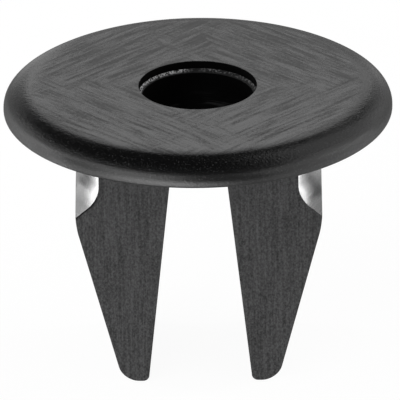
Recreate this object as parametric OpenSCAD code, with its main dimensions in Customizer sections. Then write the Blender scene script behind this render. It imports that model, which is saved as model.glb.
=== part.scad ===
// Push-in fender apron nut, moulded in one piece from black nylon.
// A round head seats on the panel, four barbed corners snap in behind the panel hole,
// and a screw driven through the head spreads the two legs.
// Millimetres. Z is the screw axis, pointing out through the head. Z = 0 is the face that
// seats on the panel. X runs across the two legs, Y through the slot between them.

/* [Head] */
// Outside diameter of the head
head_d = 22.2; // [20:0.1:26]
// Height of the head above the panel
head_t = 1.4; // [1.3:0.05:2.4]
// Diameter of the flat on top of the head
flat_d = 17.8; // [14:0.2:18.4]
// Radius of the outer rim, seen in section
rim_r = 0.72; // [0.5:0.02:0.85]
// Straight band around the rim, below its round
rim_land = 0.1; // [0.05:0.01:0.2]
// Radius of the rim's lower edge
foot_r = 0.12; // [0.05:0.01:0.2]

/* [Screw hole] */
// Diameter of the hole through the head and the hub, which just clears the screw
bore_d = 6.35; // [5.8:0.05:6.6]
// Diameter of the narrower channel between the legs, where the screw cuts its thread
channel_d = 4.8; // [4.2:0.05:5.4]
// Diameter of the recess at the mouth of the hole
recess_d = 6.74; // [6.7:0.02:8]
// Depth of the recess, down to its sloped step
recess_depth = 0.46; // [0.3:0.02:0.7]

/* [Neck and barbs] */
// Width of the shank over the barbs
shank_w = 14.05; // [13.4:0.05:15]
// Thickness of the shank from front to back
shank_depth = 8.1; // [7.4:0.1:9.4]
// Diameter of the turned neck, which fills the panel hole
neck_d = 13.95; // [13:0.05:14.6]
// Length of the neck, from the panel face to the start of the barbs
neck_l = 3.9; // [2.6:0.05:4.6]
// Slope of the barbs, from the horizontal
ramp_angle = 45; // [35:1:55]
// Radius between the neck and the barbs
ramp_r = 1.9; // [0.6:0.1:1.9]

/* [Legs] */
// Straight side of the shank below the barbs
shoulder_land = 0.5; // [0.2:0.05:1]
// Radius where the straight side turns into the taper
shoulder_r = 5; // [1:0.5:8]
// Length of the legs below the panel face
leg_l = 15.4; // [12.5:0.05:18]
// Depth of the solid hub above the slot
hub_l = 2; // [1.4:0.1:3]
// Width of the slot at its top
slot_w = 3.06; // [2.4:0.02:3.8]
// Width of the slot at the tips of the legs
slot_tip_w = 5.96; // [5:0.02:7]
// Width of each tip before its corners are rounded
tip_w = 1.47; // [1.4:0.01:2.2]
// Radius of the outer corner of each tip
tip_out_r = 1.2; // [0.5:0.05:1.2]
// Radius of the inner corner of each tip
tip_in_r = 0.35; // [0.1:0.05:0.35]

/* [Hidden] */
$fn = 120;

nylon = [0.16, 0.16, 0.17];
over = 1;          // how far a cut runs past the face it opens
bury = 0.4;        // how far the shank runs up into the head
reach = 1.4;       // how far a clip reaches past the corner it rounds, times the corner's distance

head_r = head_d / 2;
flat_r = flat_d / 2;
neck_r = neck_d / 2;

// The crown joins the flat to the rim in one arc, level at the flat and tangent to the rim round.
crown_drop = head_t - foot_r - rim_land;
crown_run = head_r - flat_r;
crown_angle = 2 * atan((crown_drop - rim_r) / (crown_run - rim_r));
crown_r = rim_r + (crown_run - rim_r) / sin(crown_angle);
crown_c = [flat_r, head_t - crown_r];
rim_c = [head_r - rim_r, foot_r + rim_land];
rim_top = rim_c + rim_r * [sin(crown_angle), cos(crown_angle)];
foot_c = [head_r - foot_r, foot_r];

// The barbs end at the corners of the shank.
corner_r = norm([shank_w / 2, shank_depth / 2]);
barb_z = -neck_l - (corner_r - neck_r) * tan(ramp_angle);
shoulder_z = barb_z - shoulder_land;
groove_r = corner_r + over;
groove_z = -neck_l - (groove_r - neck_r) * tan(ramp_angle);

// Corners of one leg, seen from the front.
shank_top = [shank_w / 2, bury];
shoulder = [shank_w / 2, shoulder_z];
tip_out = [slot_tip_w / 2 + tip_w, -leg_l];
tip_in = [slot_tip_w / 2, -leg_l];
slot_top = [slot_w / 2, -hub_l];

function unit(v) = v / norm(v);

// Half of the angle between two edges that leave the corner v for p and q.
function half_angle(p, v, q) = acos(unit(p - v) * unit(q - v)) / 2;

// Where a round of radius r leaves the edge from v to p, when the other edge runs to q.
function leaves(p, v, q, r) = v + unit(p - v) * r / tan(half_angle(p, v, q));

// Centre of a round of radius r in the corner v.
function centre(p, v, q, r) =
    v + unit(unit(p - v) + unit(q - v)) * r / sin(half_angle(p, v, q));

// The sliver between an arc and its chord, from a to b around c.
module arc_fill(c, r, a, b) {
    mid = (a + b) / 2 - c;
    intersection() {
        polygon([a, c + mid * reach * r * r / (mid * mid), b]);
        translate(c)
            circle(r = r);
    }
}

// The rounded corner v between the edges to p and q.
module corner_fill(p, v, q, r) {
    arc_fill(centre(p, v, q, r), r, leaves(p, v, q, r), leaves(q, v, p, r));
}

// Half section of the head, from the axis to the rim.
module head_section() {
    polygon([
        [0, 0],
        [foot_c[0], 0],
        [head_r, foot_c[1]],
        [head_r, rim_c[1]],
        rim_top,
        [flat_r, head_t],
        [0, head_t]
    ]);
    arc_fill(foot_c, foot_r, [foot_c[0], 0], [head_r, foot_c[1]]);
    arc_fill(rim_c, rim_r, [head_r, rim_c[1]], rim_top);
    arc_fill(crown_c, crown_r, rim_top, [flat_r, head_t]);
}

module head() {
    rotate_extrude()
        head_section();
}

// One leg with its half of the hub, seen from the front.
module leg_outline() {
    polygon([
        [0, bury],
        shank_top,
        leaves(shank_top, shoulder, tip_out, shoulder_r),
        leaves(tip_out, shoulder, shank_top, shoulder_r),
        leaves(shoulder, tip_out, tip_in, tip_out_r),
        leaves(tip_in, tip_out, shoulder, tip_out_r),
        leaves(tip_out, tip_in, slot_top, tip_in_r),
        leaves(slot_top, tip_in, tip_out, tip_in_r),
        slot_top,
        [0, -hub_l]
    ]);
    corner_fill(shank_top, shoulder, tip_out, shoulder_r);
    corner_fill(shoulder, tip_out, tip_in, tip_out_r);
    corner_fill(tip_out, tip_in, slot_top, tip_in_r);
}

module shank() {
    rotate([90, 0, 0])
        linear_extrude(height = shank_depth, center = true) {
            leg_outline();
            mirror([1, 0])
                leg_outline();
        }
}

// Half section of the groove that turns the neck and slopes the barbs, from the panel face down.
module groove_section() {
    top = [neck_r, 0];
    root = [neck_r, -neck_l];
    edge = [groove_r, groove_z];
    polygon([
        top,
        leaves(top, root, edge, ramp_r),
        leaves(edge, root, top, ramp_r),
        edge,
        [groove_r, 0]
    ]);
    corner_fill(top, root, edge, ramp_r);
}

module groove() {
    rotate_extrude()
        groove_section();
}

// The screw's hole. A sloped step leads into it from the recess, and it runs on between the
// legs as a narrower half-round channel in each.
module screw_hole() {
    step = (recess_d - bore_d) / 2;
    lead = (bore_d - channel_d) / 2;
    recess_z = head_t - recess_depth;
    translate([0, 0, recess_z])
        cylinder(d = recess_d, h = recess_depth + over);
    translate([0, 0, recess_z - step])
        cylinder(d1 = bore_d, d2 = recess_d, h = step);
    translate([0, 0, -hub_l])
        cylinder(d = bore_d, h = hub_l + recess_z);
    translate([0, 0, -hub_l - lead])
        cylinder(d1 = channel_d, d2 = bore_d, h = lead);
    translate([0, 0, -leg_l - over])
        cylinder(d = channel_d, h = leg_l + over - hub_l);
}

module nut_body() {
    color(nylon)
        difference() {
            union() {
                head();
                difference() {
                    shank();
                    groove();
                }
            }
            screw_hole();
        }
}

nut_body();
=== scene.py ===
import math

import bmesh
import bpy
from bpy.props import FloatProperty, FloatVectorProperty, PointerProperty
from mathutils import Matrix, Vector


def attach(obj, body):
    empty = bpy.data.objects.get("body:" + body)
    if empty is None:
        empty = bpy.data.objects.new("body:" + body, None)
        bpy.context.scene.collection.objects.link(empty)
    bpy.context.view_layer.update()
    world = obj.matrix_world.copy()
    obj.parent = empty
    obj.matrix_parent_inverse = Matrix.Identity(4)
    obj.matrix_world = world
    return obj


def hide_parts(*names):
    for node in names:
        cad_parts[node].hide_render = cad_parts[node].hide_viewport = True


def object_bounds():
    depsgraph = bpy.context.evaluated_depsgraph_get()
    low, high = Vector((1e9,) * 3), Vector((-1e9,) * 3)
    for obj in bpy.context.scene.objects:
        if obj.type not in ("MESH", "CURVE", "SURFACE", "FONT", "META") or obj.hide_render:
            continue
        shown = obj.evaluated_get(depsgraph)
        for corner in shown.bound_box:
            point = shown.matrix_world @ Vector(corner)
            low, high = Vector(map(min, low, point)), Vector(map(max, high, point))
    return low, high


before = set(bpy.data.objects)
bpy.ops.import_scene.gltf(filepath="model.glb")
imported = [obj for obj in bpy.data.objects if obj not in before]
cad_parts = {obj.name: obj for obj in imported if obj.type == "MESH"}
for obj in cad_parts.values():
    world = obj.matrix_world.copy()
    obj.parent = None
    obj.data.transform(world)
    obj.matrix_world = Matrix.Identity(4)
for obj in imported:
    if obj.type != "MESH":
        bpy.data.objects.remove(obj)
CAD_LOW, CAD_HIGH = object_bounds()

bl_info = {
    "name": "Fender apron nut",
    "version": (1, 0, 0),
    "blender": (4, 5, 0),
    "location": "3D View > Sidebar > Apron nut",
    "description": "Dresses the moulded nylon nut with its tool marks and sets up a plain studio",
    "category": "Object",
}

MM = 0.001
NODE = "nut_body"
PIECE = "nut_moulding"
WHITE = (1.0, 1.0, 1.0, 1.0)
QUARTER = math.radians(90)

# Order of the finishes on the moulding
HEAD, LEG, SLOT_SHADE, NECK, LEDGE, BORE = range(6)

# How close counts as touching, how close points merge, and how far a cutter or a joint overlaps
TOUCH = 0.01 * MM
WELD = 0.0001 * MM
BURY = 0.4 * MM

# How close points merge along the border of two finishes, in widths of the edge break
BORDER_WELD = 1.5

# Steps of a full turn, of a round, of the small round under the rim and of a broken edge
TURN_STEPS = 240
ROUND_STEPS = 12
FOOT_STEPS = 6
BREAK_STEPS = 2

# A bend up to the first angle is flat, past the second it is broken, past the third shaded sharp
FLAT_BEND = math.radians(0.2)
BREAK_BEND = math.radians(28)
SHARP_BEND = math.radians(40)

# Patterns in the nylon, in features per millimetre: across, along and none for the strokes,
# and along X, Y and Z for the others
STROKES = (2.6, 0.2, 0.0)
PATCHES = (0.45, 0.45, 0.45)
GRAIN = (7.0, 7.0, 7.0)
DUST = (10.0, 10.0, 10.0)
LEG_STREAKS = (7.0, 7.0, 0.35)
LEG_SPECKS = (11.0, 11.0, 8.0)
SLOT_STREAKS = (5.0, 5.0, 0.4)
NECK_RINGS = (0.5, 0.5, 7.0)
LEDGE_GRAIN = (8.0, 8.0, 8.0)
BORE_RINGS = (0.5, 0.5, 6.0)

# How far apart the two sets of strokes lie in the noise, in millimetres
STROKE_SHIFT = 40.0

# The soft panels stand at this distance from this point
PANEL_REACH = 550 * MM
PANEL_AIM = (0.0, 0.0, -2 * MM)

# Half of the floor's width, its own white, and the share of that white that the camera sees
FLOOR_HALF = 3.0
FLOOR_GLOW = 1.02
FLOOR_SHARE = 0.93


def length(name, description, millimetres):
    """A length property, with its default in millimetres."""
    return FloatProperty(
        name=name, description=description, default=millimetres * MM, min=0.0, unit="LENGTH")


class NutShape(bpy.types.PropertyGroup):
    """Sizes of the nut"""

    head_d: length("Head diameter", "Outside diameter of the head", 2 * CAD_HIGH.x / MM)
    head_t: length("Head height", "Height of the head above the panel", CAD_HIGH.z / MM)
    flat_d: length("Flat diameter", "Diameter of the flat on top of the head", 17.8)
    rim_r: length("Rim radius", "Radius of the outer rim, seen in section", 0.72)
    rim_land: length("Rim land", "Straight band around the rim, below its round", 0.1)
    foot_r: length("Foot radius", "Radius of the rim's lower edge", 0.12)
    bore_d: length("Bore diameter", "Diameter of the hole through the head and the hub", 6.35)
    channel_d: length("Channel diameter", "Diameter of the channel between the legs", 4.8)
    recess_d: length("Recess diameter", "Diameter of the recess at the mouth of the hole", 6.74)
    recess_depth: length("Recess depth", "Depth of the recess, down to its sloped step", 0.46)
    shank_w: length("Shank width", "Width of the shank over the barbs", 14.05)
    shank_depth: length("Shank depth", "Thickness of the shank from front to back", 8.1)
    neck_d: length("Neck diameter", "Diameter of the turned neck", 13.95)
    neck_l: length("Neck length", "From the panel face to the start of the barbs", 3.9)
    ramp_r: length("Ramp radius", "Radius between the neck and the barbs", 1.9)
    shoulder_land: length("Shoulder land", "Straight side of the shank below the barbs", 0.5)
    shoulder_r: length("Shoulder radius", "Radius where the side turns into the taper", 5.0)
    leg_l: length("Leg length", "Length of the legs below the panel face", -CAD_LOW.z / MM)
    hub_l: length("Hub depth", "Depth of the solid hub above the slot", 2.0)
    slot_w: length("Slot width", "Width of the slot at its top", 3.06)
    slot_tip_w: length("Slot tip width", "Width of the slot at the tips of the legs", 5.96)
    tip_w: length("Tip width", "Width of each tip before its corners are rounded", 1.47)
    tip_out_r: length("Outer tip radius", "Radius of the outer corner of each tip", 1.2)
    tip_in_r: length("Inner tip radius", "Radius of the inner corner of each tip", 0.35)
    edge_break: length("Edge break", "Width of the round on a sharp edge", 0.04)
    ramp_angle: FloatProperty(
        name="Ramp angle", description="Slope of the barbs, from the horizontal",
        default=math.radians(45), min=0.0, subtype="ANGLE", unit="ROTATION")


class NutFinish(bpy.types.PropertyGroup):
    """Colours and gloss of the black nylon"""

    nylon: FloatVectorProperty(
        name="Nylon", description="Colour of the black nylon",
        default=(0.002, 0.002, 0.0021), min=0.0, max=1.0, size=3, subtype="COLOR")
    rubbed: FloatVectorProperty(
        name="Rubbed nylon", description="Colour of the nylon where tools have rubbed it",
        default=(0.065, 0.065, 0.066), min=0.0, max=1.0, size=3, subtype="COLOR")
    head_roughness: FloatProperty(
        name="Head roughness", description="Roughness of the head",
        default=0.27, min=0.0, max=1.0, subtype="FACTOR")
    leg_roughness: FloatProperty(
        name="Leg roughness", description="Roughness of the legs",
        default=0.45, min=0.0, max=1.0, subtype="FACTOR")
    neck_roughness: FloatProperty(
        name="Neck roughness", description="Roughness of the turned neck and barbs",
        default=0.2, min=0.0, max=1.0, subtype="FACTOR")
    hidden_roughness: FloatProperty(
        name="Slot and step roughness", description="Roughness of the slot and of the step in the hole",
        default=0.8, min=0.0, max=1.0, subtype="FACTOR")
    bore_roughness: FloatProperty(
        name="Bore roughness", description="Roughness of the hole",
        default=0.75, min=0.0, max=1.0, subtype="FACTOR")


class Studio(bpy.types.PropertyGroup):
    """Camera, lights and floor"""

    aim: FloatVectorProperty(
        name="Aim", description="Point that the camera looks at",
        default=(0.056 * MM, 0.0, -5.835 * MM), size=3, subtype="TRANSLATION", unit="LENGTH")
    distance: FloatProperty(
        name="Camera distance", description="Distance from the camera to the aim",
        default=420 * MM, min=0.01, unit="LENGTH")
    azimuth: FloatProperty(
        name="Camera azimuth", description="Turn of the camera about the nut, to the right",
        default=math.radians(0.3), subtype="ANGLE", unit="ROTATION")
    elevation: FloatProperty(
        name="Camera elevation", description="Height of the camera above the horizon",
        default=math.radians(24.88), subtype="ANGLE", unit="ROTATION")
    roll: FloatProperty(
        name="Camera roll", description="Turn of the camera about its own axis",
        default=math.radians(-0.65), subtype="ANGLE", unit="ROTATION")
    lens: FloatProperty(
        name="Lens", description="Focal length of the camera, in millimetres",
        default=658.3, min=1.0)
    floor: FloatVectorProperty(
        name="Floor", description="Colour of the floor",
        default=(0.88, 0.88, 0.88), min=0.0, max=1.0, size=3, subtype="COLOR")
    side_radiance: FloatProperty(
        name="Side panels", description="Brightness of the soft panels at the sides",
        default=1.0, min=0.0)
    rear_radiance: FloatProperty(
        name="Rear panel", description="Brightness of the soft panel behind the nut",
        default=0.79, min=0.0)
    low_radiance: FloatProperty(
        name="Low surroundings", description="Brightness of the surroundings below the horizon",
        default=0.5, min=0.0)
    fill_radiance: FloatProperty(
        name="Fill", description="Brightness of the surroundings",
        default=0.03, min=0.0)


class Wire:
    """An output socket in a node tree. Arithmetic on it adds Math nodes."""

    def __init__(self, tree, socket):
        self.tree = tree
        self.socket = socket

    def _math(self, operation, *values):
        return self.tree.add("ShaderNodeMath", {"operation": operation}, dict(enumerate(values)))

    def __add__(self, other):
        return self._math("ADD", self, other)

    def __radd__(self, other):
        return self._math("ADD", other, self)

    def __sub__(self, other):
        return self._math("SUBTRACT", self, other)

    def __rsub__(self, other):
        return self._math("SUBTRACT", other, self)

    def __mul__(self, other):
        return self._math("MULTIPLY", self, other)

    def __rmul__(self, other):
        return self._math("MULTIPLY", other, self)

    def __truediv__(self, other):
        return self._math("DIVIDE", self, other)

    def __rtruediv__(self, other):
        return self._math("DIVIDE", other, self)

    def root(self):
        return self._math("SQRT", self)

    def most(self, other):
        return self._math("MAXIMUM", self, other)

    def ease(self, low, high):
        """0 below low, 1 above high, and a smooth rise between them."""
        settings = {"interpolation_type": "SMOOTHSTEP"}
        sockets = {"Value": self, "From Min": low, "From Max": high}
        return self.tree.add("ShaderNodeMapRange", settings, sockets)


class Tree:
    """The node tree of a material or of the world."""

    def __init__(self, owner):
        owner.use_nodes = True
        self.nodes = owner.node_tree.nodes
        self.links = owner.node_tree.links
        self.nodes.clear()

    def add(self, kind, settings=None, sockets=None, output=0):
        """Adds a node: its settings first, then the values or wires of its sockets."""
        node = self.nodes.new(kind)
        for name, value in (settings or {}).items():
            setattr(node, name, value)
        for name, value in (sockets or {}).items():
            if isinstance(value, Wire):
                self.links.new(value.socket, node.inputs[name])
            else:
                node.inputs[name].default_value = value
        return Wire(self, node.outputs[output]) if len(node.outputs) else None

    def split(self, vector):
        """The x, y and z of a vector, as three wires."""
        first = self.add("ShaderNodeSeparateXYZ", sockets={0: vector})
        return [Wire(self, socket) for socket in first.socket.node.outputs]

    def millimetres(self):
        """The point on the piece, in millimetres, as three wires."""
        place = self.add("ShaderNodeTexCoord", output="Object")
        return [part / MM for part in self.split(place)]

    def noise(self, point, pattern, detail):
        """Noise at a point in millimetres, with the features per millimetre that pattern gives."""
        scaled = [part * rate for part, rate in zip(point, pattern)]
        vector = self.add("ShaderNodeCombineXYZ", sockets=dict(enumerate(scaled)))
        sockets = {"Vector": vector, "Scale": 1.0, "Detail": detail, "Roughness": 0.6}
        return self.add("ShaderNodeTexNoise", sockets=sockets)

    def blend(self, share, first, second):
        """A colour from first to second. A Mix node's colour sockets are known by number only."""
        settings = {"data_type": "RGBA"}
        return self.add("ShaderNodeMix", settings, {0: share, 6: first, 7: second}, output=2)

    def bump(self, height, depth, strength=1.0):
        """Normals of a relief that is depth millimetres deep where height is 1."""
        sockets = {"Height": height, "Distance": depth * MM, "Strength": strength}
        return self.add("ShaderNodeBump", sockets=sockets)

    def nylon(self, colour, roughness, normal, gloss=0.5, skin=0.0):
        """The plastic itself, with its gloss and the polish of its skin."""
        sockets = {"Base Color": colour, "Roughness": roughness, "Normal": normal, "IOR": 1.5,
                   "Specular IOR Level": gloss, "Coat Weight": skin, "Coat Roughness": 0.25}
        shader = self.add("ShaderNodeBsdfPrincipled", sockets=sockets)
        self.add("ShaderNodeOutputMaterial", sockets={"Surface": shader})


def opaque(colour, times=1.0):
    """A colour, times a brightness, with its alpha."""
    return (*(value * times for value in colour), 1.0)


def new_material(name):
    """A material and its empty node tree."""
    material = bpy.data.materials.new(name)
    return material, Tree(material)


def strokes(tree, across, along):
    """Straight brush strokes, fine across and long along."""
    return tree.noise((across, along, 0.0), STROKES, detail=4.0)


def head_finish(finish, shape):
    """Satin nylon, rubbed on the flat with strokes that square off around the hole."""
    material, tree = new_material("nylon_head")
    point = x, y, z = tree.millimetres()
    patch = tree.noise(point, PATCHES, detail=2.0)
    grain = tree.noise(point, GRAIN, detail=2.0)
    dust = tree.noise(point, DUST, detail=1.0)

    # The strokes cross over from one quarter of the flat to the next, along a ragged border
    rising = strokes(tree, x - y, x + y)
    falling = strokes(tree, x + y + STROKE_SHIFT, x - y)
    quarter = x * y / (x * x + y * y).most(0.01) + (patch - 0.5) * 1.5
    brushed = rising + (falling - rising) * quarter.ease(-0.3, 0.3)
    marks = brushed * 0.65 + grain * 0.25 + patch * 0.1 - y * 0.004

    # The flat is rubbed, and the crown and the rim around it only have specks
    top = shape.head_t / MM
    flat = z.ease(top - 0.08, top - 0.005)
    crown = z.ease(top - 0.6, top - 0.2) * (1.0 - flat)
    share = marks.ease(0.38, 0.62) * flat
    specks = dust.ease(0.58, 0.75) * (1.0 - flat) * 0.4
    colour = tree.blend(share + specks, opaque(finish.nylon), opaque(finish.rubbed))

    # The strokes are strongest at the front, and the rim is dull low down, most of all at its ends
    worn = 0.14 + (1.0 - y.ease(-7.0, -2.0)) * 0.16
    ends = x.ease(4.0, 8.0).most(1.0 - x.ease(-9.0, -7.0))
    dull = (1.0 - z.ease(top - 1.0, top - 0.4)) * (0.08 + ends * 0.25)
    roughness = finish.head_roughness + (0.5 - share) * flat * worn - crown * 0.1 + dull
    relief = marks + grain * (1.0 - flat) * 1.5
    tree.nylon(colour, roughness, tree.bump(relief, depth=0.01))
    return material


def barb_shadow_line(shape, x, y, z):
    """1 close below the edge of the barbs, where the painted shadow line goes, and 0 elsewhere."""
    neck_r = shape.neck_d / 2 / MM
    neck_l = shape.neck_l / MM
    ramp_r = shape.ramp_r / MM
    arc_z = ramp_r * math.tan(shape.ramp_angle / 2) - neck_l
    arc_end = -ramp_r * math.sin(shape.ramp_angle)
    out = (x * x + y * y).root()
    across = out - (neck_r + ramp_r)
    down = z - arc_z
    hollow = (across * across + down * down).root() - ramp_r
    ramp = (out - neck_r) * math.tan(shape.ramp_angle) + z + neck_l
    on_arc = (1.0 - hollow.ease(0.04, 0.16)) * (1.0 - down.ease(-0.9, -0.5))
    on_ramp = ramp.ease(-0.2, -0.05) * (1.0 - down.ease(arc_end, arc_end + 0.05))
    return on_arc.most(on_ramp)


def leg_finish(finish, shape):
    """Nylon with a fine grain drawn down the legs, and a painted shadow line below the left barbs."""
    material, tree = new_material("nylon_leg")
    point = x, y, z = tree.millimetres()
    streaks = tree.noise(point, LEG_STREAKS, detail=3.0)
    specks = tree.noise(point, LEG_SPECKS, detail=2.0)
    marks = streaks * 0.4 + specks * 0.6
    # Painted shadow: a dark, duller line below the barbs, on the left side only
    left = 1.0 - x.ease(-1.0, 1.0)
    line = barb_shadow_line(shape, x, y, z) * left
    share = marks.ease(0.28, 0.72) * (1.0 - line)
    colour = tree.blend(share, opaque(finish.nylon), opaque(finish.rubbed))
    roughness = finish.leg_roughness + (marks - 0.5) * 0.3 + line * 0.3
    tree.nylon(colour, roughness, tree.bump(marks, depth=0.012), gloss=0.12)
    return material


def slot_shade_finish(finish):
    """Nylon on the faces of the slot, darker and duller than the legs: painted shade between the legs.
    """
    material, tree = new_material("nylon_slot_shaded")
    streaks = tree.noise(tree.millimetres(), SLOT_STREAKS, detail=3.0)
    # Painted shade: less of the rubbed colour than on the legs, so the slot's faces render darker
    colour = tree.blend(streaks * 0.5, opaque(finish.nylon), opaque(finish.rubbed))
    roughness = finish.hidden_roughness + (streaks - 0.5) * 0.2
    tree.nylon(colour, roughness, tree.bump(streaks, depth=0.012), gloss=0.03)
    return material


def neck_finish(finish):
    """Glossy nylon where the neck and the barbs were turned."""
    material, tree = new_material("nylon_neck")
    rings = tree.noise(tree.millimetres(), NECK_RINGS, detail=2.0)
    colour = tree.blend(rings, opaque(finish.nylon), opaque(finish.rubbed, 1.7))
    roughness = finish.neck_roughness + (rings - 0.5) * 0.1
    relief = tree.bump(rings, depth=0.002, strength=0.6)
    tree.nylon(colour, roughness, relief, gloss=1.0, skin=1.0)
    return material


def ledge_highlight_finish(finish, shape):
    """Coarse nylon on the sloped step inside the hole, with a painted highlight along its speckled
    upper edge, weaker on the right and in a gap at the middle.
    """
    material, tree = new_material("nylon_ledge_highlight")
    point = tree.millimetres()
    x, y = point[:2]
    grain = tree.noise(point, LEDGE_GRAIN, detail=2.0)
    bore_r = shape.bore_d / 2 / MM
    # Painted highlight on the step's upper edge, over a real grain
    highlight_edge = (x * x + y * y).root().ease(bore_r + 0.025, bore_r + 0.125)
    # Strength of the painted highlight: weaker on the right and in a gap at the middle
    right = x.ease(-1.5, 1.0)
    highlight_gap = x.ease(-0.9, -0.4) * (1.0 - x.ease(0.1, 0.5))
    worn = (1.0 - right * 0.75) * (1.0 - highlight_gap * 0.8)
    share = (grain - right * 0.06).ease(0.42, 0.58) * highlight_edge * worn
    # The painted highlight is the rubbed colour six and a half times over
    colour = tree.blend(share, opaque(finish.nylon), opaque(finish.rubbed, 6.5))
    roughness = finish.hidden_roughness - share * 0.4
    tree.nylon(colour, roughness, tree.bump(grain, depth=0.04), gloss=0.3)
    return material


def bore_shade_finish(finish):
    """Nylon in the hole, darkened to a fifth of its colour as painted shade, with faint rings from the
    core pin.
    """
    material, tree = new_material("nylon_bore_shaded")
    point = tree.millimetres()
    rings = tree.noise(point, BORE_RINGS, detail=2.0)
    deep = 1.0 - point[2].ease(-1.2, -0.2)
    share = rings.ease(0.5, 0.7) * deep
    # Painted shade: the hole's nylon is darkened to a fifth
    colour = tree.blend(share, opaque(finish.nylon, 0.2), opaque(finish.rubbed, 0.3))
    roughness = finish.bore_roughness + (rings - 0.5) * 0.2
    relief = tree.bump(rings, depth=0.006, strength=0.8)
    tree.nylon(colour, roughness, relief, gloss=0.03)
    return material


class Pen:
    """Draws a wire in the XZ plane and makes a solid of it."""

    def __init__(self, x, z):
        self.shape = bmesh.new()
        self.tip = self.shape.verts.new((x, 0.0, z))

    def line(self, x, z):
        made = bmesh.ops.extrude_vert_indiv(self.shape, verts=[self.tip])
        self.tip = made["verts"][0]
        self.tip.co = (x, 0.0, z)

    def arc(self, x, z, angle, steps):
        """Goes round the centre x, z. A positive angle turns from +X to +Z."""
        made = bmesh.ops.spin(
            self.shape, geom=[self.tip], cent=(x, 0.0, z), axis=(0.0, -1.0, 0.0), angle=angle,
            steps=steps)
        self.tip = made["geom_last"][0]

    def turned(self):
        """The solid of the wire turned about Z."""
        wire = self.shape.verts[:] + self.shape.edges[:]
        bmesh.ops.spin(
            self.shape, geom=wire, cent=(0.0, 0.0, 0.0), axis=(0.0, 0.0, 1.0), angle=math.tau,
            steps=TURN_STEPS, use_merge=True)
        return self._closed()

    def pushed(self, depth):
        """The solid of the wire and its mirror image, pushed along Y."""
        wire = self.shape.verts[:] + self.shape.edges[:]
        bmesh.ops.mirror(
            self.shape, geom=wire, matrix=Matrix.Identity(4), merge_dist=WELD, axis="X")
        face = bmesh.ops.contextual_create(self.shape, geom=self.shape.edges[:])["faces"]
        made = bmesh.ops.extrude_face_region(self.shape, geom=face)["geom"]
        bmesh.ops.translate(
            self.shape, verts=[v for v in made if isinstance(v, bmesh.types.BMVert)],
            vec=(0.0, depth, 0.0))
        bmesh.ops.translate(self.shape, verts=self.shape.verts, vec=(0.0, -depth / 2, 0.0))
        return self._closed()

    def _closed(self):
        bmesh.ops.remove_doubles(self.shape, verts=self.shape.verts, dist=WELD)
        bmesh.ops.recalc_face_normals(self.shape, faces=self.shape.faces)
        return self.shape


def head_solid(shape):
    """The round head, without its hole."""
    head_r = shape.head_d / 2
    flat_r = shape.flat_d / 2
    rim_x = head_r - shape.rim_r
    rim_z = shape.foot_r + shape.rim_land
    run = rim_x - flat_r
    drop = shape.head_t - rim_z - shape.rim_r
    turn = 2 * math.atan2(drop, run)
    crown_r = shape.rim_r + run / math.sin(turn)
    pen = Pen(0.0, 0.0)
    pen.line(head_r - shape.foot_r, 0.0)
    pen.arc(head_r - shape.foot_r, shape.foot_r, QUARTER, FOOT_STEPS)
    pen.line(head_r, rim_z)
    pen.arc(rim_x, rim_z, QUARTER - turn, ROUND_STEPS)
    pen.arc(flat_r, shape.head_t - crown_r, turn, ROUND_STEPS)
    pen.line(0.0, shape.head_t)
    return pen.turned()


def groove_solid(shape):
    """The turned groove that leaves the neck and the sloped barbs."""
    neck_r = shape.neck_d / 2
    outer = shape.head_d / 2
    arc_z = shape.ramp_r * math.tan(shape.ramp_angle / 2) - shape.neck_l
    fall = (outer - neck_r) * math.tan(shape.ramp_angle)
    pen = Pen(outer, BURY / 2)
    pen.line(neck_r, BURY / 2)
    pen.line(neck_r, arc_z)
    pen.arc(neck_r + shape.ramp_r, arc_z, QUARTER - shape.ramp_angle, ROUND_STEPS)
    pen.line(outer, -shape.neck_l - fall)
    pen.line(outer, BURY / 2)
    return pen.turned()


def hole_solid(shape):
    """The screw's hole, from the recess down to the channel between the legs."""
    recess_r = shape.recess_d / 2
    bore_r = shape.bore_d / 2
    channel_r = shape.channel_d / 2
    recess_z = shape.head_t - shape.recess_depth
    pen = Pen(0.0, shape.head_t + BURY)
    pen.line(recess_r, shape.head_t + BURY)
    pen.line(recess_r, recess_z)
    pen.line(bore_r, recess_z - recess_r + bore_r)
    pen.line(bore_r, -shape.hub_l)
    pen.line(channel_r, -shape.hub_l - bore_r + channel_r)
    pen.line(channel_r, -shape.leg_l - BURY)
    pen.line(0.0, -shape.leg_l - BURY)
    return pen.turned()


def rounded(solid, x, z, radius):
    """Rounds the edges that run along Y at x, z and at its mirror image."""
    edges = []
    for edge in solid.edges:
        first, last = edge.verts
        beside = all(abs(abs(v.co.x) - x) < TOUCH and abs(v.co.z - z) < TOUCH for v in edge.verts)
        if beside and abs(first.co.y - last.co.y) > TOUCH:
            edges.append(edge)
    offset = radius * math.tan(edges[0].calc_face_angle() / 2)
    bmesh.ops.bevel(
        solid, geom=edges, offset=offset, offset_type="OFFSET", segments=ROUND_STEPS, profile=0.5,
        affect="EDGES", material=-1)


def shank_solid(shape):
    """The hub and the two legs, before the neck is turned."""
    side = shape.shank_w / 2
    corner_r = math.hypot(side, shape.shank_depth / 2)
    barb_z = -shape.neck_l - (corner_r - shape.neck_d / 2) * math.tan(shape.ramp_angle)
    shoulder = (side, barb_z - shape.shoulder_land)
    tip_out = (shape.slot_tip_w / 2 + shape.tip_w, -shape.leg_l)
    tip_in = (shape.slot_tip_w / 2, -shape.leg_l)
    pen = Pen(0.0, BURY)
    for corner in ((side, BURY), shoulder, tip_out, tip_in, (shape.slot_w / 2, -shape.hub_l)):
        pen.line(*corner)
    pen.line(0.0, -shape.hub_l)
    solid = pen.pushed(shape.shank_depth)
    rounded(solid, *shoulder, shape.shoulder_r)
    rounded(solid, *tip_out, shape.tip_out_r)
    rounded(solid, *tip_in, shape.tip_in_r)
    return solid


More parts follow.
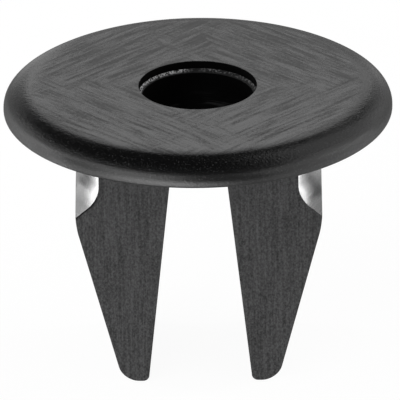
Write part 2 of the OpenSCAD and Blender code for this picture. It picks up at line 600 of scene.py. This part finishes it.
def placed(context, name, solid, finish, materials):
    """Puts a solid in the scene in one finish, except for the sloped step inside the hole."""
    for face in solid.faces:
        sloped = 0.5 < abs(face.normal.z) < 0.9
        step = finish == BORE and sloped and face.calc_center_median().z > 0.0
        face.material_index = LEDGE if step else finish
    mesh = bpy.data.meshes.new(name)
    solid.to_mesh(mesh)
    solid.free()
    for material in materials:
        mesh.materials.append(material)
    thing = bpy.data.objects.new(name, mesh)
    context.scene.collection.objects.link(thing)
    return thing


def combined(context, base, tool, operation):
    """Joins tool to base, or cuts it out of base, and removes tool."""
    step = base.modifiers.new(operation, "BOOLEAN")
    step.operation = operation
    step.solver = "EXACT"
    step.object = tool
    graph = context.evaluated_depsgraph_get()
    mesh = bpy.data.meshes.new_from_object(base.evaluated_get(graph))
    base.modifiers.clear()
    base.data = mesh
    bpy.data.objects.remove(tool)


def put_in_order(items, key):
    """Sorts a mesh's vertices, edges or faces. A boolean leaves them in any order."""
    rank = {item: place for place, item in enumerate(sorted(items, key=key))}
    items.sort(key=lambda item: rank[item])
    items.index_update()


class OBJECT_OT_nut_moulding(bpy.types.Operator):
    """Makes the dressed moulding, with its edges broken and its finishes on"""

    bl_idname = "object.nut_moulding"
    bl_label = "Nut moulding"

    def execute(self, context):
        shape = context.scene.nut_shape
        finish = context.scene.nut_finish
        materials = [
            head_finish(finish, shape), leg_finish(finish, shape), slot_shade_finish(finish),
            neck_finish(finish), ledge_highlight_finish(finish, shape), bore_shade_finish(finish)]
        piece = placed(context, PIECE, shank_solid(shape), LEG, materials)
        groove = placed(context, "groove", groove_solid(shape), NECK, materials)
        combined(context, piece, groove, "DIFFERENCE")
        head = placed(context, "head", head_solid(shape), HEAD, materials)
        combined(context, piece, head, "UNION")
        hole = placed(context, "hole", hole_solid(shape), BORE, materials)
        combined(context, piece, hole, "DIFFERENCE")
        self.break_edges(piece.data, shape.edge_break)
        self.shade_slot(piece.data)
        piece.data.set_sharp_from_angle(angle=SHARP_BEND)
        weigh = piece.modifiers.new("normals", "WEIGHTED_NORMAL")
        weigh.keep_sharp = True
        weigh.weight = 80
        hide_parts(NODE)
        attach(piece, "root")
        return {"FINISHED"}

    def break_edges(self, mesh, width):
        """Gives each sharp outer edge a small round, except around the turned faces."""
        solid = bmesh.new()
        solid.from_mesh(mesh)
        put_in_order(solid.verts, lambda vert: vert.co[:])
        put_in_order(solid.edges, lambda edge: sorted(vert.index for vert in edge.verts))
        put_in_order(solid.faces, lambda face: sorted(vert.index for vert in face.verts))
        border = set()
        for edge in solid.edges:
            if len({face.material_index for face in edge.link_faces}) > 1:
                border.update(edge.verts)
        ordered = [vert for vert in solid.verts if vert in border]
        bmesh.ops.remove_doubles(solid, verts=ordered, dist=BORDER_WELD * width)
        bmesh.ops.dissolve_limit(
            solid, angle_limit=FLAT_BEND, verts=solid.verts, edges=solid.edges, delimit={"MATERIAL"})
        for face in solid.faces:
            face.smooth = True
        sharp = []
        for edge in solid.edges:
            turned = NECK in {face.material_index for face in edge.link_faces}
            if edge.is_convex and not turned and edge.calc_face_angle() > BREAK_BEND:
                sharp.append(edge)
        bmesh.ops.bevel(
            solid, geom=sharp, offset=width, offset_type="OFFSET", segments=BREAK_STEPS, profile=0.5,
            affect="EDGES", material=-1)
        solid.to_mesh(mesh)
        solid.free()

    def shade_slot(self, mesh):
        """Gives the faces of the slot, which look at each other, their own darker finish: painted
        shade.
        """
        for face in mesh.polygons:
            inward = face.normal.x * face.center.x < 0.0 and abs(face.normal.x) > 0.5
            if face.material_index == LEG and inward:
                face.material_index = SLOT_SHADE


def aimed(place, target):
    """A matrix at place, with -Z pointing at target."""
    turn = (Vector(target) - Vector(place)).to_track_quat("-Z", "Y")
    return Matrix.Translation(place) @ turn.to_matrix().to_4x4()


def around(azimuth, elevation, distance, aim):
    """A point at a distance from aim. Azimuth 0 is the front, and it grows to the right."""
    level = math.cos(elevation)
    way = Vector((math.sin(azimuth) * level, -math.cos(azimuth) * level, math.sin(elevation)))
    return Vector(aim) + way * distance


class SCENE_OT_nut_stage(bpy.types.Operator):
    """Makes the floor, the lights, the surroundings and the camera"""

    bl_idname = "scene.nut_stage"
    bl_label = "Nut stage"

    def execute(self, context):
        studio = context.scene.nut_studio
        self.floor(context, studio)
        self.surroundings(context, studio)
        self.lights(studio)
        self.camera(context, studio)
        context.scene.view_settings.view_transform = "Standard"
        return {"FINISHED"}

    def floor(self, context, studio):
        """A pale floor that the camera sees almost white, with the shadow in its matt share."""
        mesh = bpy.data.meshes.new("floor")
        plate = bmesh.new()
        under = Matrix.Translation((0.0, 0.0, CAD_LOW.z - TOUCH))
        bmesh.ops.create_grid(plate, x_segments=1, y_segments=1, size=FLOOR_HALF, matrix=under)
        plate.to_mesh(mesh)
        plate.free()
        material, tree = new_material("floor")
        seen = tree.add("ShaderNodeLightPath", output="Is Camera Ray")
        matt = tree.add("ShaderNodeBsdfDiffuse", sockets={"Color": opaque(studio.floor)})
        glow = tree.add("ShaderNodeEmission", sockets={"Color": WHITE, "Strength": FLOOR_GLOW})
        mixed = tree.add("ShaderNodeMixShader", sockets={0: seen * FLOOR_SHARE, 1: matt, 2: glow})
        tree.add("ShaderNodeOutputMaterial", sockets={"Surface": mixed})
        mesh.materials.append(material)
        floor = bpy.data.objects.new("floor", mesh)
        context.scene.collection.objects.link(floor)
        floor.visible_glossy = False
        floor.visible_shadow = False

    def surroundings(self, context, studio):
        """White for the camera. For the nut, dark above and paler below, less so behind it."""
        world = bpy.data.worlds.new("studio")
        context.scene.world = world
        tree = Tree(world)
        seen = tree.add("ShaderNodeLightPath", output="Is Camera Ray")
        way = tree.split(tree.add("ShaderNodeTexCoord", output="Generated"))
        behind = way[1].ease(0.0, 0.7)
        low = (1.0 - way[2].ease(-0.25, 0.05)) * (1.0 - behind * 0.8)
        power = studio.fill_radiance + low * studio.low_radiance
        strength = seen + (1.0 - seen) * power
        glow = tree.add("ShaderNodeBackground", sockets={"Color": WHITE, "Strength": strength})
        tree.add("ShaderNodeOutputWorld", sockets={"Surface": glow})

    def lights(self, studio):
        """Soft panels all round, brightest low at the front and in a strip at each side."""
        side = studio.side_radiance
        self.panel("front_low", (-28, -12), (44, 44), side * 4.0)
        self.panel("front_high", (-36, 29), (40, 38), side * 2.2)
        self.panel("front_top", (-52, 56), (56, 24), side * 0.9)
        self.panel("centre_low", (-2, -22), (32, 36), side * 2.4)
        self.panel("left_low", (-85, -12), (70, 44), side * 1.25)
        self.panel("left_high", (-84, 36), (60, 40), side * 0.9)
        self.panel("left_back", (-126, 14), (28, 46), side * 1.25)
        self.panel("right_low", (80, -12), (80, 44), side * 0.95)
        self.panel("right_high", (76, 34), (66, 48), side * 1.15)
        self.panel("right_back", (126, 40), (44, 52), side * 0.66)
        self.panel("rear_left", (-156, 0), (34, 56), side * 0.33)
        self.panel("rear_right", (150, 0), (34, 56), side * 0.38)
        self.panel("rear_low", (180, 2), (36, 22), side * 0.26)
        self.panel("strip_left", (-107, -6), (10, 78), side * 6.6)
        self.panel("strip_right", (106, -6), (9, 78), side * 6.4)
        self.panel("rear", (180, 25), (30, 25), studio.rear_radiance)

    def panel(self, name, place, span, radiance):
        """A soft panel at an azimuth and elevation, wide and high as it spans, all in degrees."""
        azimuth, elevation = [math.radians(angle) for angle in place]
        wide, high = [2 * PANEL_REACH * math.tan(math.radians(angle / 2)) for angle in span]
        lamp = bpy.data.lights.new(name, "AREA")
        lamp.shape = "RECTANGLE"
        lamp.size = wide
        lamp.size_y = high
        lamp.energy = radiance * wide * high * math.pi
        light = bpy.data.objects.new(name, lamp)
        light.matrix_world = aimed(around(azimuth, elevation, PANEL_REACH, PANEL_AIM), PANEL_AIM)
        light.visible_camera = False
        bpy.context.scene.collection.objects.link(light)

    def camera(self, context, studio):
        """The photograph's view."""
        data = bpy.data.cameras.new("camera")
        data.lens = studio.lens
        data.sensor_width = 36.0
        data.clip_start = 0.01
        data.clip_end = 20.0
        camera = bpy.data.objects.new("camera", data)
        place = around(studio.azimuth, studio.elevation, studio.distance, studio.aim)
        camera.matrix_world = aimed(place, studio.aim) @ Matrix.Rotation(studio.roll, 4, "Z")
        context.scene.collection.objects.link(camera)
        context.scene.camera = camera


class VIEW3D_PT_nut(bpy.types.Panel):
    """Lists the nut's sizes, finishes and studio"""

    bl_label = "Apron nut"
    bl_idname = "VIEW3D_PT_nut"
    bl_space_type = "VIEW_3D"
    bl_region_type = "UI"
    bl_category = "Apron nut"

    def draw(self, context):
        layout = self.layout
        for group in (context.scene.nut_shape, context.scene.nut_finish, context.scene.nut_studio):
            column = layout.column(align=True)
            for name in group.__annotations__:
                column.prop(group, name)
        layout.operator(OBJECT_OT_nut_moulding.bl_idname)
        layout.operator(SCENE_OT_nut_stage.bl_idname)


CLASSES = (NutShape, NutFinish, Studio, OBJECT_OT_nut_moulding, SCENE_OT_nut_stage, VIEW3D_PT_nut)


def register():
    for cls in CLASSES:
        bpy.utils.register_class(cls)
    bpy.types.Scene.nut_shape = PointerProperty(type=NutShape)
    bpy.types.Scene.nut_finish = PointerProperty(type=NutFinish)
    bpy.types.Scene.nut_studio = PointerProperty(type=Studio)


def unregister():
    del bpy.types.Scene.nut_studio
    del bpy.types.Scene.nut_finish
    del bpy.types.Scene.nut_shape
    for cls in reversed(CLASSES):
        bpy.utils.unregister_class(cls)


def main():
    register()
    bpy.ops.object.nut_moulding()
    bpy.ops.scene.nut_stage()


if __name__ == "__main__":
    main()
